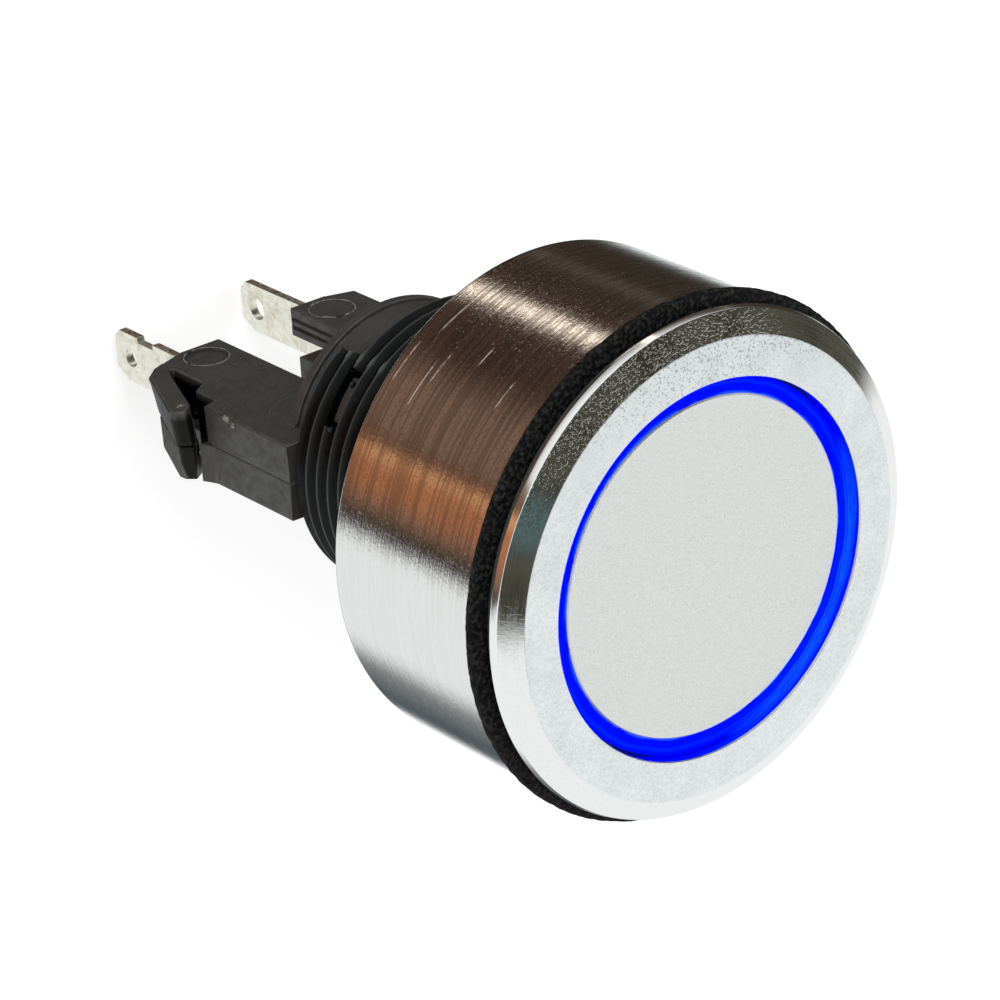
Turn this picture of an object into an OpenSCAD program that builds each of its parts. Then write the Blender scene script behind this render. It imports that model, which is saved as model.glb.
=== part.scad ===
// Illuminated push button for a control panel: metal bezel and press cap, lit ring, threaded body
// with a clamp collar, and a two-tab contact module. Millimetres. Z is the button's axis and points
// out of its face; z = 0 is the panel's front surface, where the gasket seats.

/* [Press cap] */
// Diameter of the metal press cap
cap_d = 29.5; // [26:0.5:36]
// Thickness of the press cap
cap_t = 0.5; // [0.4:0.05:0.8]
// How far the cap's face sits below the bezel's face
cap_recess = 0.9; // [0.4:0.1:1.2]
// Diameter of the spigot that centres the cap
cap_spigot_d = 10; // [6:1:14]
// Length of the spigot
cap_spigot_l = 0.8; // [0.4:0.1:1]
// Travel of the cap when it is pressed
travel = 1.3; // [0.8:0.1:2]

/* [Light guide] */
// Width of the lit ring between cap and bezel
ring_w = 1.65; // [1:0.05:2.5]
// Depth of the lit ring below the cap's face
ring_drop = 0.2; // [0.1:0.05:0.4]
// Gap between the moving ring and the bezel
ring_gap = 0.2; // [0.1:0.05:0.4]
// Thickness of the head under the cap's edge
head_t = 0.65; // [0.5:0.05:1.2]
// Thickness of the crown inside the skirt
crown_t = 1.5; // [1.2:0.1:2.5]
// Length of the skirt below the panel plane
skirt_len = 9.5; // [8:0.5:12]
// Wall of the skirt
skirt_t = 1.5; // [1:0.1:2]
// Number of springy fingers that the skirt is slit into
skirt_fingers = 8; // [4:2:12]
// Diameter of the push rod
rod_d = 4.4; // [3:0.2:5]

/* [Bezel] */
// Width of the bezel's flat face
land_w = 3.45; // [2:0.05:5]
// Width of the bevel
bevel_w = 2.15; // [1:0.05:3]
// Height of the bevel
bevel_h = 1.2; // [0.6:0.05:1.4]
// Wall of the short skirt that is pressed into the body
bezel_skirt_t = 0.8; // [0.6:0.1:1.2]

/* [Threaded body] */
// Thread diameter of the barrel
thread_d = 28; // [27:0.5:34]
// Length of the barrel behind the panel plane
barrel_len = 34.5; // [32:0.5:44]
// Wall of the barrel
barrel_wall = 2; // [1.6:0.1:2.5]
// Step in the bore that the skirt's fingers catch under
latch_step = 0.44; // [0.3:0.02:0.6]
// Thickness of the plastic flange
flange_t = 1.1; // [0.8:0.1:2]
// How far the flange stays inside the bezel's rim
flange_inset = 0.7; // [0.3:0.1:1.5]
// Thickness of the floor under the press cap
floor_t = 0.5; // [0.4:0.05:1]
// Wall of the spigot that centres the gasket
spigot_wall = 1.1; // [0.8:0.1:1.6]
// Angle that each notch in the rear edge spans
notch_angle = 72; // [50:1:80]
// Depth of the notches
notch_depth = 3.2; // [2:0.1:4]
// Angle that each bayonet window spans
window_angle = 23; // [16:1:26]
// Height of the bayonet windows
window_h = 2; // [1.2:0.1:2.2]

/* [Gasket and collar] */
// Thickness of the panel gasket
gasket_t = 0.85; // [0.6:0.05:1.5]
// How far the gasket stands out past the bezel's rim
gasket_proud = 0.9; // [0:0.1:1.5]
// Length of the clamp collar
collar_len = 17.6; // [10:0.2:22]
// How far the collar stands out past the bezel's rim
collar_proud = 0.1; // [0:0.05:1]
// Wall of the collar in front of its threaded web
collar_wall = 2.6; // [2:0.1:4]
// Length of the collar's threaded web
collar_web = 8; // [5:0.5:9]

/* [Contact module] */
// Distance from the tabs' plane to the module's round wall
arm_inset = 4.4; // [4:0.1:5]
// Distance from the tabs' plane to the inner side of an arm
arm_in_w = 3.1; // [2.6:0.1:3.4]
// Distance from the tabs' plane to the outer side of an arm
arm_out_w = 3.7; // [3.2:0.1:4.2]
// Height of the arms
arm_h = 7.2; // [6.6:0.1:8]
// Length of the left arm behind the module's rim
arm_len = 19.9; // [16:0.2:24]
// How much longer the right arm is
arm_extra = 0.8; // [0:0.1:2]
// Length of the arms' wide part
shoulder_len = 12.2; // [8:0.2:14]
// How far the module's rim stands behind the barrel
rim_out = 3.6; // [2.5:0.1:5]
// Length of the module's solid nose, between lamp board and contact chamber
front_wall = 3.5; // [2.5:0.1:4.5]
// Length of the chamber that the contacts work in
chamber_len = 15.5; // [14:0.5:16]
// Height of the chamber
chamber_h = 6; // [5:0.2:6.4]
// How far the latch's nose stands out past the arm's shoulder
latch_out = 2.8; // [1.5:0.1:4]
// Diameter of the ejector marks on the arms
mark_d = 4; // [3:0.2:5]

/* [Terminals] */
// Width of the tabs
tab_w = 4.8; // [4:0.1:5.2]
// Thickness of the tabs
tab_t = 0.8; // [0.5:0.1:1]
// Length of the tabs behind the arms
tab_len = 11.7; // [8:0.1:13]
// Diameter of the wire hole in the left tab
tab_hole_d = 1.8; // [1.2:0.1:2.4]
// Diameter of the wire hole in the right tab
open_hole_d = 2.2; // [1.2:0.1:2.4]
// Distance from the tab's end to its wire hole
tab_hole_in = 2.4; // [2:0.1:4]
// Width of the terminals inside the arms
blade_w = 4; // [3:0.1:4]
// How far the ears that lock a terminal stand out of its blade
ear_out = 0.7; // [0.4:0.1:0.9]

/* [Contacts] */
// Diameter of the contact heads
contact_d = 2.6; // [2:0.1:3]
// Thickness of the contact heads
contact_t = 0.5; // [0.3:0.05:0.6]
// Thickness of the contact bridge
bridge_t = 0.4; // [0.3:0.05:0.5]
// Play between the push rod and the actuator
play = 0.27; // [0.2:0.01:0.4]

/* [Springs and lamp] */
// Wire diameter of the return spring
spring_wire = 0.6; // [0.4:0.05:0.7]
// Turns of the return spring
spring_turns = 6; // [4:1:7]
// Wire diameter of the actuator spring
small_wire = 0.36; // [0.3:0.02:0.45]
// Turns of the actuator spring
small_turns = 6; // [4:1:7]
// Thickness of the lamp board
board_t = 1; // [0.8:0.1:1.6]
// Number of light-emitting diodes on the board
led_count = 4; // [2:1:6]

/* [Hidden] */
$fn = 96;
eps = 0.01;

// Clearances
run_gap = 0.06;
fit_gap = 0.1;
stop_gap = 0.05;
light_gap = 0.4;
edge = 0.3;
spring_room = 1.2;
tower_l = 3;

// Heights in front of the panel plane
flange_z = gasket_t;
flange_top = flange_z + flange_t;
head_z = floor_t + travel + stop_gap;
cap_z = head_z + head_t;
cap_face = cap_z + cap_t;
face_z = cap_face + cap_recess;
crown_z = cap_z - crown_t;

// Radii in front of the panel plane
cap_r = cap_d / 2;
opening_r = cap_r + ring_w;
head_r = opening_r - ring_gap;
bezel_r = opening_r + land_w + bevel_w;
bezel_skirt_r = opening_r + bezel_skirt_t;
pocket_r = bezel_skirt_r + stop_gap;
spigot_r = pocket_r + spigot_wall;
flange_r = bezel_r - flange_inset;
gasket_r = bezel_r + gasket_proud;
collar_r = bezel_r + collar_proud;

// Radii of the barrel and what slides in it
thread_r = thread_d / 2;
bore_r = thread_r - barrel_wall;
guide_r = bore_r - latch_step;
skirt_r = guide_r - run_gap;
skirt_in_r = skirt_r - skirt_t;
catch_r = bore_r - 0.15;
step_z = -(skirt_len - 2);
spring_r = skirt_in_r - light_gap - spring_wire / 2;
board_r = spring_r - spring_wire / 2 - light_gap;
tower_r = board_r - 0.2;
module_r = bore_r - fit_gap;

// Places along the module
module_z = -(skirt_len + travel + spring_room);
board_z = module_z + tower_l;
chamber_top = module_z - front_wall;
chamber_z = chamber_top - chamber_len;
rim_z = -(barrel_len + rim_out);
arm_z = rim_z - arm_len;
shoulder_front = -(barrel_len + fit_gap);
shoulder_z = -(barrel_len + shoulder_len);
tab_z = arm_z - tab_len;
ear_z = chamber_z - 5;
ear_l = 2;

// Places across the module
arm_x = module_r - arm_inset;
arm_in = arm_x - arm_in_w;
arm_out = arm_x + arm_out_w;
arm_half = arm_h / 2;
shoulder_out = thread_r + 0.1;
shoulder_r = thread_r + 0.5;
chamber_x = arm_x + tab_t / 2 + 1.5;
nose_x = shoulder_out + latch_out;

// Places of the contacts
rod_z = module_z - 1.5;
actuator_top = rod_z - play;
stem_len = 4.3;
collet_h = 1.6;
bridge_z = actuator_top - stem_len - collet_h;
close_travel = travel - play + 0.02;
contact_gap = close_travel + 0.03;
fixed_z = bridge_z - bridge_t - contact_t - contact_gap;
strip_z = fixed_z - contact_t;
contact_x = arm_x - 1.9;
bridge_x = arm_x - 0.7;
peg_r = 1.2;
shank_r = 0.6;
lead_x = tower_r - 0.9;
lead_r = 0.3;
small_r = 2;

// Places of the bayonet, measured round the axis from +X
window_from = -49;
lug_play = 0.2;
lug_r = thread_r - 1.2;
window_z = -(barrel_len - 2.9);
notch_mid = -90;

module lathe(points) {
    rotate_extrude() polygon(points);
}

module sector(r0, r1, z0, z1, from, span) {
    rotate([0, 0, from]) rotate_extrude(angle = span) translate([r0, z0]) square([r1 - r0, z1 - z0]);
}

module box_at(x0, x1, y0, y1, z0, z1) {
    translate([x0, y0, z0]) cube([x1 - x0, y1 - y0, z1 - z0]);
}

module post(r, z0, z1) {
    translate([0, 0, z0]) cylinder(r = r, h = z1 - z0);
}

// Both sides of the module, half a turn apart
module both_ways() {
    children();
    rotate([0, 0, 180]) children();
}

module both_sides() {
    children();
    mirror([1, 0, 0]) children();
}

module bezel() {
    brow = 0.15;
    color("gainsboro") lathe([
        [opening_r, floor_t], [bezel_skirt_r, floor_t], [bezel_skirt_r, flange_top],
        [bezel_r - brow, flange_top], [bezel_r, flange_top + brow], [bezel_r, face_z - bevel_h],
        [bezel_r - bevel_w, face_z], [opening_r + brow, face_z], [opening_r, face_z - brow]]);
}

module press_cap() {
    brow = 0.12;
    color("lightgray") lathe([
        [0, cap_z - cap_spigot_l], [cap_spigot_d / 2, cap_z - cap_spigot_l], [cap_spigot_d / 2, cap_z],
        [cap_r, cap_z], [cap_r, cap_face - brow], [cap_r - brow, cap_face], [0, cap_face]]);
}

module light_guide() {
    seat_r = cap_r + stop_gap;
    spigot_hole_r = cap_spigot_d / 2 + stop_gap;
    spigot_floor = cap_z - cap_spigot_l - stop_gap;
    catch_h = 1.3;
    slit_w = 0.9;
    slit_top = -2.5;
    finger_step = 360 / skirt_fingers;
    color("dodgerblue") difference() {
        union() {
            lathe([
                [0, crown_z], [skirt_in_r, crown_z], [skirt_in_r, -skirt_len], [skirt_r - edge, -skirt_len],
                [skirt_r, edge - skirt_len], [skirt_r, head_z], [head_r, head_z],
                [head_r, cap_face - ring_drop], [seat_r, cap_face - ring_drop], [seat_r, cap_z],
                [spigot_hole_r, cap_z], [spigot_hole_r, spigot_floor], [0, spigot_floor]]);
            post(rod_d / 2, rod_z, crown_z + eps);
            for (i = [0 : 2 : skirt_fingers - 1])
                rotate([0, 0, (i + 0.5) * finger_step - 15]) rotate_extrude(angle = 30) polygon([
                    [skirt_r - 0.2, step_z - stop_gap], [catch_r, step_z - stop_gap],
                    [catch_r, step_z - 0.5], [skirt_r - 0.2, step_z - catch_h]]);
        }
        for (i = [0 : skirt_fingers - 1])
            rotate([0, 0, i * finger_step])
                box_at(skirt_in_r - 0.5, skirt_r + 1, -slit_w / 2, slit_w / 2, -skirt_len - 1, slit_top);
    }
}

module threaded_body() {
    chamfer = 0.8;
    groove_r = lug_r + lug_play;
    color([0.13, 0.14, 0.14]) difference() {
        lathe([
            [guide_r, floor_t], [guide_r, step_z], [bore_r, step_z], [bore_r, -barrel_len],
            [thread_r - chamfer, -barrel_len], [thread_r, chamfer - barrel_len], [thread_r, 0],
            [spigot_r, 0], [spigot_r, flange_z], [flange_r - edge, flange_z], [flange_r, flange_z + edge],
            [flange_r, flange_top], [pocket_r, flange_top], [pocket_r, floor_t]]);
        both_ways() {
            sector(bore_r - 1, thread_r + 1, -barrel_len - 1, notch_depth - barrel_len,
                notch_mid - notch_angle / 2, notch_angle);
            sector(bore_r - 1, thread_r + 1, window_z, window_z + window_h, window_from, window_angle);
            sector(bore_r - 1, groove_r, window_z + stop_gap, window_z + window_h - stop_gap,
                notch_mid, window_from + 2 - notch_mid);
        }
    }
}

module panel_gasket() {
    color([0.08, 0.08, 0.08]) lathe([
        [spigot_r + fit_gap, 0], [gasket_r - edge, 0], [gasket_r, edge], [gasket_r, gasket_t - edge / 2],
        [gasket_r - edge / 2, gasket_t], [spigot_r + fit_gap, gasket_t]]);
}

module clamp_collar() {
    pocket_end = collar_web - collar_len;
    hole_r = thread_r + run_gap;
    lead_in = 0.7;
    color("silver") lathe([
        [collar_r - collar_wall, 0], [collar_r - edge, 0], [collar_r, -edge],
        [collar_r, edge - collar_len], [collar_r - edge, -collar_len],
        [hole_r + lead_in, -collar_len], [hole_r, lead_in - collar_len], [hole_r, pocket_end - lead_in],
        [hole_r + lead_in, pocket_end], [collar_r - collar_wall, pocket_end]]);
}

// A coil of round wire whose end turns lie flat
module coil(r, wire, turns, z0, z1) {
    sides = 8;
    per_turn = 20;
    steps = turns * per_turn;
    low = z0 + wire / 2;
    high = z1 - wire / 2;
    flat_turns = 0.8;
    function ramp(t, from, to) = max(0, min(1, (t - from) / (to - from)));
    function climb(t) = low + wire * ramp(t, 0, flat_turns) + wire * ramp(t, turns - flat_turns, turns)
        + (high - low - 2 * wire) * ramp(t, flat_turns, turns - flat_turns);
    rings = [for (i = [0 : steps]) let (t = i / per_turn, a = 360 * t, z = climb(t))
        for (k = [0 : sides - 1]) let (b = 360 * k / sides, d = r + wire / 2 * cos(b))
            [d * cos(a), d * sin(a), z + wire / 2 * sin(b)]];
    skin = [for (i = [0 : steps - 1], k = [0 : sides - 1]) let (n = (k + 1) % sides)
        [i * sides + k, i * sides + n, (i + 1) * sides + n, (i + 1) * sides + k]];
    first = [for (k = [sides - 1 : -1 : 0]) k];
    last = [for (k = [0 : sides - 1]) steps * sides + k];
    polyhedron(rings, concat(skin, [first], [last]));
}

module return_spring() {
    color("gray") coil(spring_r, spring_wire, spring_turns, module_z, crown_z);
}

module lamp_board() {
    color("seagreen") difference() {
        post(board_r, board_z, board_z + board_t);
        post(rod_d / 2 + light_gap, board_z - 1, board_z + board_t + 1);
        both_sides() translate([lead_x, 0, 0]) post(lead_r + stop_gap, board_z - 1, board_z + board_t + 1);
    }
}

module lamp_leds() {
    package = [2.6, 3.2, 1];
    lens_r = 0.9;
    lens_depth = 0.3;
    ring_r = (rod_d / 2 + light_gap + board_r) / 2 + 0.1;
    for (i = [0 : led_count - 1])
        rotate([0, 0, (i + 0.5) * 360 / led_count]) translate([ring_r, 0, board_z + board_t])
            color("white") difference() {
                translate([-package[0] / 2, -package[1] / 2, 0]) cube(package);
                translate([0, 0, package[2] - lens_depth]) cylinder(r = lens_r, h = 1);
            }
}

module lamp_resistors() {
    chip = [1.2, 2, 0.5];
    chip_in = 1.4;
    for (side = [-1, 1])
        color("black") translate([0, side * (board_r - chip_in - chip[1] / 2), board_z + board_t])
            translate([-chip[0] / 2, -chip[1] / 2, 0]) cube(chip);
}

module lamp_lead() {
    translate([lead_x, 0, 0]) post(lead_r, strip_z, board_z + board_t + 0.5);
}

module lamp_lead_common() {
    color("tan") lamp_lead();
}

module lamp_lead_open() {
    color("tan") mirror([1, 0, 0]) lamp_lead();
}

// Draws a plan in X and Z and gives it height along Y
module slab(y0, y1, points) {
    translate([0, y1, 0]) rotate([90, 0, 0]) linear_extrude(y1 - y0) polygon(points);
}

// The left arm with its stepped shoulder; extra lengthens it
module arm_solid(y0, y1, extra) {
    step_x = (arm_out + shoulder_out) / 2;
    step_top = shoulder_z - 3.2;
    step_slope = 1;
    corner_cut = 0.9;
    lean = 0.3;
    root_l = 2;
    end_z = arm_z - extra;
    slab(y0, y1, [
        [arm_in, rim_z + 1], [arm_in, end_z], [arm_x + 1, end_z], [arm_out, end_z + corner_cut],
        [arm_out, step_top - step_slope], [step_x, step_top], [step_x, rim_z + 1]]);
    intersection() {
        slab(y0, y1, [
            [arm_in, shoulder_front], [arm_in, shoulder_z - root_l], [step_x, shoulder_z - lean],
            [shoulder_out, shoulder_z], [shoulder_out, shoulder_front]]);
        post(shoulder_r, shoulder_z - root_l, shoulder_front);
    }
}

// One cross-section of the latch: its nose, the corner where it turns, and its root
module latch_slice(y, out, nose_z, corner, root) {
    tip_x = nose_x - out;
    tip_cut = 0.8;
    tip_flat = 0.6;
    nose_w = 2;
    hook = 0.9;
    slab(y, y + 2 * eps, [
        root, corner, [tip_x, nose_z - tip_cut - tip_flat], [tip_x, nose_z - tip_cut],
        [tip_x - tip_cut, nose_z], [tip_x - nose_w, nose_z - hook],
        [tip_x - nose_w + 0.2, nose_z - 2 * hook]]);
}

// The springy latch beside the left arm, slanting forward from the arm's rear corner
module latch_upper() {
    back_z = arm_z + 1.4;
    slab(-arm_half, -stop_gap, [
        [arm_out - 0.1, back_z - 0.5], [arm_out + 1.2, back_z], [arm_out + 1.2, back_z + 1.4],
        [arm_out - 0.1, back_z + 1.2]]);
    hull() {
        latch_slice(-arm_half, 0, shoulder_z, [arm_out + 2.6, back_z + 1.1], [arm_out + 0.7, back_z + 1.4]);
        slab(-arm_half, -arm_half + 2 * eps, [
            [arm_out + 0.6, back_z], [arm_out + 1.2, back_z], [arm_out + 0.7, back_z + 1.4]]);
        latch_slice(-stop_gap - 2 * eps, 0.6, shoulder_z - 0.2, [arm_out + 2.2, back_z + 1.6],
            [arm_out + 1, back_z + 1.8]);
    }
}

module latch_lower() {
    back_z = arm_z + 2;
    slab(stop_gap, 1.4, [
        [arm_out - 0.1, back_z - 0.6], [arm_out + 1.4, back_z], [arm_out + 2.3, back_z + 1.3],
        [arm_out + 1.6, back_z + 2], [arm_out - 0.1, back_z + 0.9]]);
    hull() {
        latch_slice(stop_gap, 0.7, shoulder_z - 0.3, [arm_out + 2.4, back_z + 1.4],
            [arm_out + 1.4, back_z + 2]);
        latch_slice(arm_half / 2, 0.9, shoulder_z - 0.5, [arm_out + 3.8, back_z + 3.7],
            [arm_out + 2.6, back_z + 4.6]);
        latch_slice(arm_half - 2 * eps, 1.3, shoulder_z - 0.9, [arm_out + 4.3, back_z + 6.6],
            [arm_out + 3.6, back_z + 6.6]);
    }
}

// The module's outside before it is split: a plug that fits the barrel, and its bayonet lugs
module plug() {
    lip_r = module_r - 0.15;
    lip_top = rim_z + 1;
    neck_r = module_r - 0.3;
    groove_r = module_r - 0.6;
    groove_top = lip_top + 0.5;
    lug_turn = 2;
    lathe([
        [0, rim_z], [lip_r, rim_z], [lip_r, lip_top], [groove_r, lip_top], [groove_r, groove_top],
        [neck_r, groove_top], [neck_r, -barrel_len], [module_r, edge - barrel_len],
        [module_r, module_z - edge], [module_r - edge, module_z],
        [tower_r, module_z], [tower_r, board_z], [0, board_z]]);
    both_ways() sector(module_r - 1, lug_r, window_z + lug_play, window_z + window_h - lug_play,
        window_from + lug_turn, window_angle - 2 * lug_turn);
}

// What is hollow inside the module
module hollows() {
    slot_in = arm_x - tab_t / 2 - stop_gap;
    slot_out = arm_x + tab_t / 2 + stop_gap;
    slot_h = blade_w / 2 + fit_gap;
    ear_h = blade_w / 2 + ear_out + fit_gap;
    spring_pad = 1.6;
    gap_top = -0.9;
    gap_bottom = 1;
    box_at(-chamber_x, chamber_x, -chamber_h / 2, chamber_h / 2, chamber_z, chamber_top);
    post(rod_d / 2 + fit_gap + run_gap, chamber_z + 1, board_z + 1);
    post(peg_r + fit_gap, chamber_z - spring_pad, chamber_z + 1);
    both_sides() {
        translate([lead_x, 0, 0]) post(lead_r + fit_gap, chamber_top - 1, board_z + 1);
        box_at(slot_in, slot_out, -slot_h, slot_h, arm_z - arm_extra - 1, chamber_z + 1);
        box_at(slot_in, slot_out, -ear_h, ear_h, ear_z - stop_gap, ear_z + ear_l + stop_gap);
        box_at(arm_in - 1, arm_x, gap_top, gap_bottom, arm_z - arm_extra - 1, rim_z - 1);
    }
}

// Dowels moulded on the upper half, and the holes for them in the lower
module dowels(gap) {
    dowel_r = 0.7;
    dowel_l = 1.5;
    side_x = (module_r + chamber_x) / 2;
    for (place = [[-side_x, chamber_top - 4], [side_x, chamber_top - 4], [0, rim_z + 2.4]])
        translate([place[0], -1, place[1]]) rotate([-90, 0, 0])
            cylinder(r = dowel_r + gap, h = 1 + dowel_l + gap);
}

module case_upper() {
    top_y = -arm_half;
    left_mark_z = arm_z + 2.6;
    right_mark = [-arm_x + 0.4, arm_z + 2.1];
    line_h = 0.2;
    line_depth = 0.12;
    color([0.2, 0.2, 0.19]) difference() {
        union() {
            intersection() {
                plug();
                box_at(-thread_r, thread_r, -thread_r, 0, rim_z - 1, board_z + 1);
            }
            arm_solid(top_y, 0, 0);
            mirror([1, 0, 0]) arm_solid(top_y, 0, arm_extra);
            latch_upper();
        }
        hollows();
        translate([arm_x, top_y + 0.3, left_mark_z]) rotate([90, 0, 0]) cylinder(d = mark_d, h = 1);
        translate([right_mark[0], top_y + 0.15, right_mark[1]]) rotate([90, 0, 0]) difference() {
            cylinder(d = mark_d + 0.4, h = 1);
            cylinder(d = mark_d, h = 1);
        }
        for (y = [-2.7, -1.9])
            box_at(-arm_in - line_depth, -arm_in + 1, y, y + line_h, arm_z - arm_extra - 1, rim_z - 1);
    }
    color([0.2, 0.2, 0.19]) intersection() {
        dowels(0);
        box_at(-thread_r, thread_r, -eps, thread_r, rim_z - 1, board_z + 1);
    }
}

module case_lower() {
    wedge_l = 1.1;
    wedge_z = shoulder_z - 0.4;
    color([0.2, 0.2, 0.21]) difference() {
        union() {
            intersection() {
                plug();
                box_at(-thread_r, thread_r, 0, thread_r, rim_z - 1, board_z + 1);
            }
            both_sides() arm_solid(0, arm_half, 0);
            slab(0, arm_half, [
                [arm_out + 1, wedge_z], [shoulder_out + 0.7, wedge_z],
                [shoulder_out, wedge_z + wedge_l + 0.4], [arm_out + 1, wedge_z + wedge_l]]);
            latch_lower();
        }
        hollows();
        dowels(fit_gap);
    }
}

// A terminal stamped from strip: tab, blade with its ears, and the bent end that carries a contact
module terminal(end_z, hole_d, chamfer) {
    snap = 0.8;
    shoulder = end_z + tab_len - 0.3;
    ear_y = blade_w / 2 + ear_out;
    foot_x = contact_x - contact_d / 2 - 0.4;
    translate([arm_x - tab_t / 2, 0, 0]) rotate([90, 0, 90]) linear_extrude(tab_t) difference() {
        polygon([
            [-blade_w / 2, strip_z], [-blade_w / 2, ear_z + ear_l], [-ear_y, ear_z + ear_l], [-ear_y, ear_z],
            [-blade_w / 2, ear_z], [-blade_w / 2, shoulder], [-tab_w / 2, shoulder],
            [-tab_w / 2, end_z + snap], [-tab_w / 2 + snap, end_z], [tab_w / 2 - chamfer, end_z],
            [tab_w / 2, end_z + 1.6 * chamfer], [tab_w / 2, shoulder - 1.6], [blade_w / 2, shoulder],
            [blade_w / 2, ear_z], [ear_y, ear_z], [ear_y, ear_z + ear_l], [blade_w / 2, ear_z + ear_l],
            [blade_w / 2, strip_z]]);
        translate([0, end_z + tab_hole_in]) circle(d = hole_d);
    }
    difference() {
        box_at(foot_x, arm_x - tab_t / 2 + eps, -blade_w / 2, blade_w / 2, strip_z - tab_t, strip_z);
        translate([contact_x, 0, 0]) post(shank_r, strip_z - 2, strip_z + 1);
    }
}

module common_terminal() {
    notch_z = tab_z + 3.7;
    notch_l = 2.4;
    notch_depth = 0.5;
    color([0.82, 0.8, 0.74]) difference() {
        terminal(tab_z, tab_hole_d, 1);
        box_at(arm_x - 1, arm_x + 1, -tab_w, -tab_w / 2 + notch_depth, notch_z, notch_z + notch_l);
    }
}

module open_terminal() {
    color([0.82, 0.8, 0.72]) mirror([1, 0, 0]) terminal(tab_z - arm_extra, open_hole_d, 1);
}

// A rivet whose head is the contact; side 1 puts the head above the strip
module rivet(z, side, shank_l) {
    translate([0, 0, z]) scale([1, 1, side]) {
        cylinder(r = contact_d / 2, h = contact_t);
        translate([0, 0, -shank_l]) cylinder(r = shank_r - stop_gap / 2, h = shank_l + eps);
    }
}

module fixed_contacts() {
    color("gold") both_sides() translate([contact_x, 0, 0]) rivet(strip_z, 1, tab_t);
}

module contact_bridge() {
    bridge_w = 3.2;
    middle = 2.3;
    color("goldenrod") difference() {
        union() {
            box_at(-bridge_x, bridge_x, -bridge_w / 2, bridge_w / 2, bridge_z - bridge_t, bridge_z);
            box_at(-middle, middle, -middle, middle, bridge_z - bridge_t, bridge_z);
        }
        post(peg_r + stop_gap, bridge_z - 1, bridge_z + 1);
        both_sides() translate([contact_x, 0, 0]) post(shank_r, bridge_z - 1, bridge_z + 1);
    }
}

module bridge_contacts() {
    color("gold") both_sides() translate([contact_x, 0, 0]) rivet(bridge_z - bridge_t, -1, bridge_t);
}

module actuator() {
    collar_x = 2.8;
    collar_y = 2.4;
    peg_in = 0.2;
    color("ivory") {
        post(rod_d / 2, actuator_top - stem_len, actuator_top);
        box_at(-collar_x, collar_x, -collar_y, collar_y, bridge_z, actuator_top - stem_len + eps);
        post(peg_r, chamber_z - peg_in, bridge_z + eps);
    }
}

module actuator_spring() {
    color("gray") coil(small_r, small_wire, small_turns, chamber_z, bridge_z - bridge_t);
}

bezel();
press_cap();
light_guide();
threaded_body();
panel_gasket();
clamp_collar();
return_spring();
lamp_board();
lamp_leds();
lamp_resistors();
lamp_lead_common();
lamp_lead_open();
case_upper();
case_lower();
common_terminal();
open_terminal();
fixed_contacts();
contact_bridge();
bridge_contacts();
actuator();
actuator_spring();
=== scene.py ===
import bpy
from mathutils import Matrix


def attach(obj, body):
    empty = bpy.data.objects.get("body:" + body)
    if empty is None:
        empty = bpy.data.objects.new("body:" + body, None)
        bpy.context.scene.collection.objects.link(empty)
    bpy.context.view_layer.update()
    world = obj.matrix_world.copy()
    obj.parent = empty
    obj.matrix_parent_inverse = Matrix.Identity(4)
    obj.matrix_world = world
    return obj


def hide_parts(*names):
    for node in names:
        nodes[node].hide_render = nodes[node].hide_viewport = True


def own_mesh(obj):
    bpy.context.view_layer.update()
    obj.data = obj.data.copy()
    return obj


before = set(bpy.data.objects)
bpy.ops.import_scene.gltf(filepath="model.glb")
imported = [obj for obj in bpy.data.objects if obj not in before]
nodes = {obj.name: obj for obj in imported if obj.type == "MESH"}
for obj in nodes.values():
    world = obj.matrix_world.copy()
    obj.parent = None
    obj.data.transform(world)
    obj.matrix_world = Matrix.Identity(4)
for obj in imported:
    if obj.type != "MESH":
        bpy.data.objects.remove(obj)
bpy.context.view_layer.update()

import math

import bmesh
import bpy
from mathutils import Matrix, Vector, noise

mm = 0.001

# The body: one black thermoplastic moulding with a flange, a spigot for the gasket and a 28 mm
# barrel. The thread is moulded with it, 1.5 mm pitch, and the rear edge has two notches and two
# bayonet windows for the contact module.
thread_r = 14.0 * mm
pitch = 1.5 * mm
thread_depth = 0.5 * mm
crest_share = 0.2
root_share = 0.14
soft_share = 0.07
crest_round = 0.16
barrel_end = -34.5 * mm
thread_start = -0.9 * mm
end_chamfer = 0.8 * mm
bore_r = 12.0 * mm
guide_r = 11.56 * mm
bore_step = -7.5 * mm
floor_top = 0.5 * mm
flange_low = 0.85 * mm
flange_top = 1.95 * mm
flange_r = 21.3 * mm
spigot_r = 18.35 * mm
pocket_r = 17.25 * mm
edge_round = 0.3 * mm
notch_top = -31.3 * mm
notch_start = math.radians(-126)
notch_span = math.radians(72)
window_low = -31.6 * mm
window_high = -29.6 * mm
window_start = math.radians(-49)
window_span = math.radians(23)
groove_r = 13.0 * mm
groove_start = math.radians(-90)
groove_span = math.radians(43)
groove_inset = 0.05 * mm
corner_round = 0.7 * mm
pin_marks = [(-43.5, -30.1 * mm), (-41.5, -29.35 * mm), (-25.5, -30.4 * mm)]
pin_reach = 13.55 * mm
pin_r = 0.3 * mm
lump_place = math.radians(-53)
lump_width = math.radians(3)
lump_height = 0.14 * mm
crest_depth = 0.08 * mm
around = 216
soft_edge = 35
weld_gap = 1e-7
body_black = (0.006, 0.0072, 0.0068)
body_dull = (0.011, 0.013, 0.012)
# Painted shade and painted highlights on the barrel: the thread roots are painted near black, the crests
# lighter grey and the lumps by the notch edges paler still.
root_shade_black = (0.0015, 0.002, 0.002)
crest_highlight_grey = (0.032, 0.035, 0.033)
lump_highlight_grey = (0.09, 0.1, 0.088)
cloud_size = 3 * mm
gloss_size = 0.5 * mm
body_gloss = (0.26, 0.42)
mould_grain = 0.35 * mm
mould_depth = 0.02 * mm
sink_size = 2.2 * mm
sink_depth = 0.04 * mm


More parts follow.
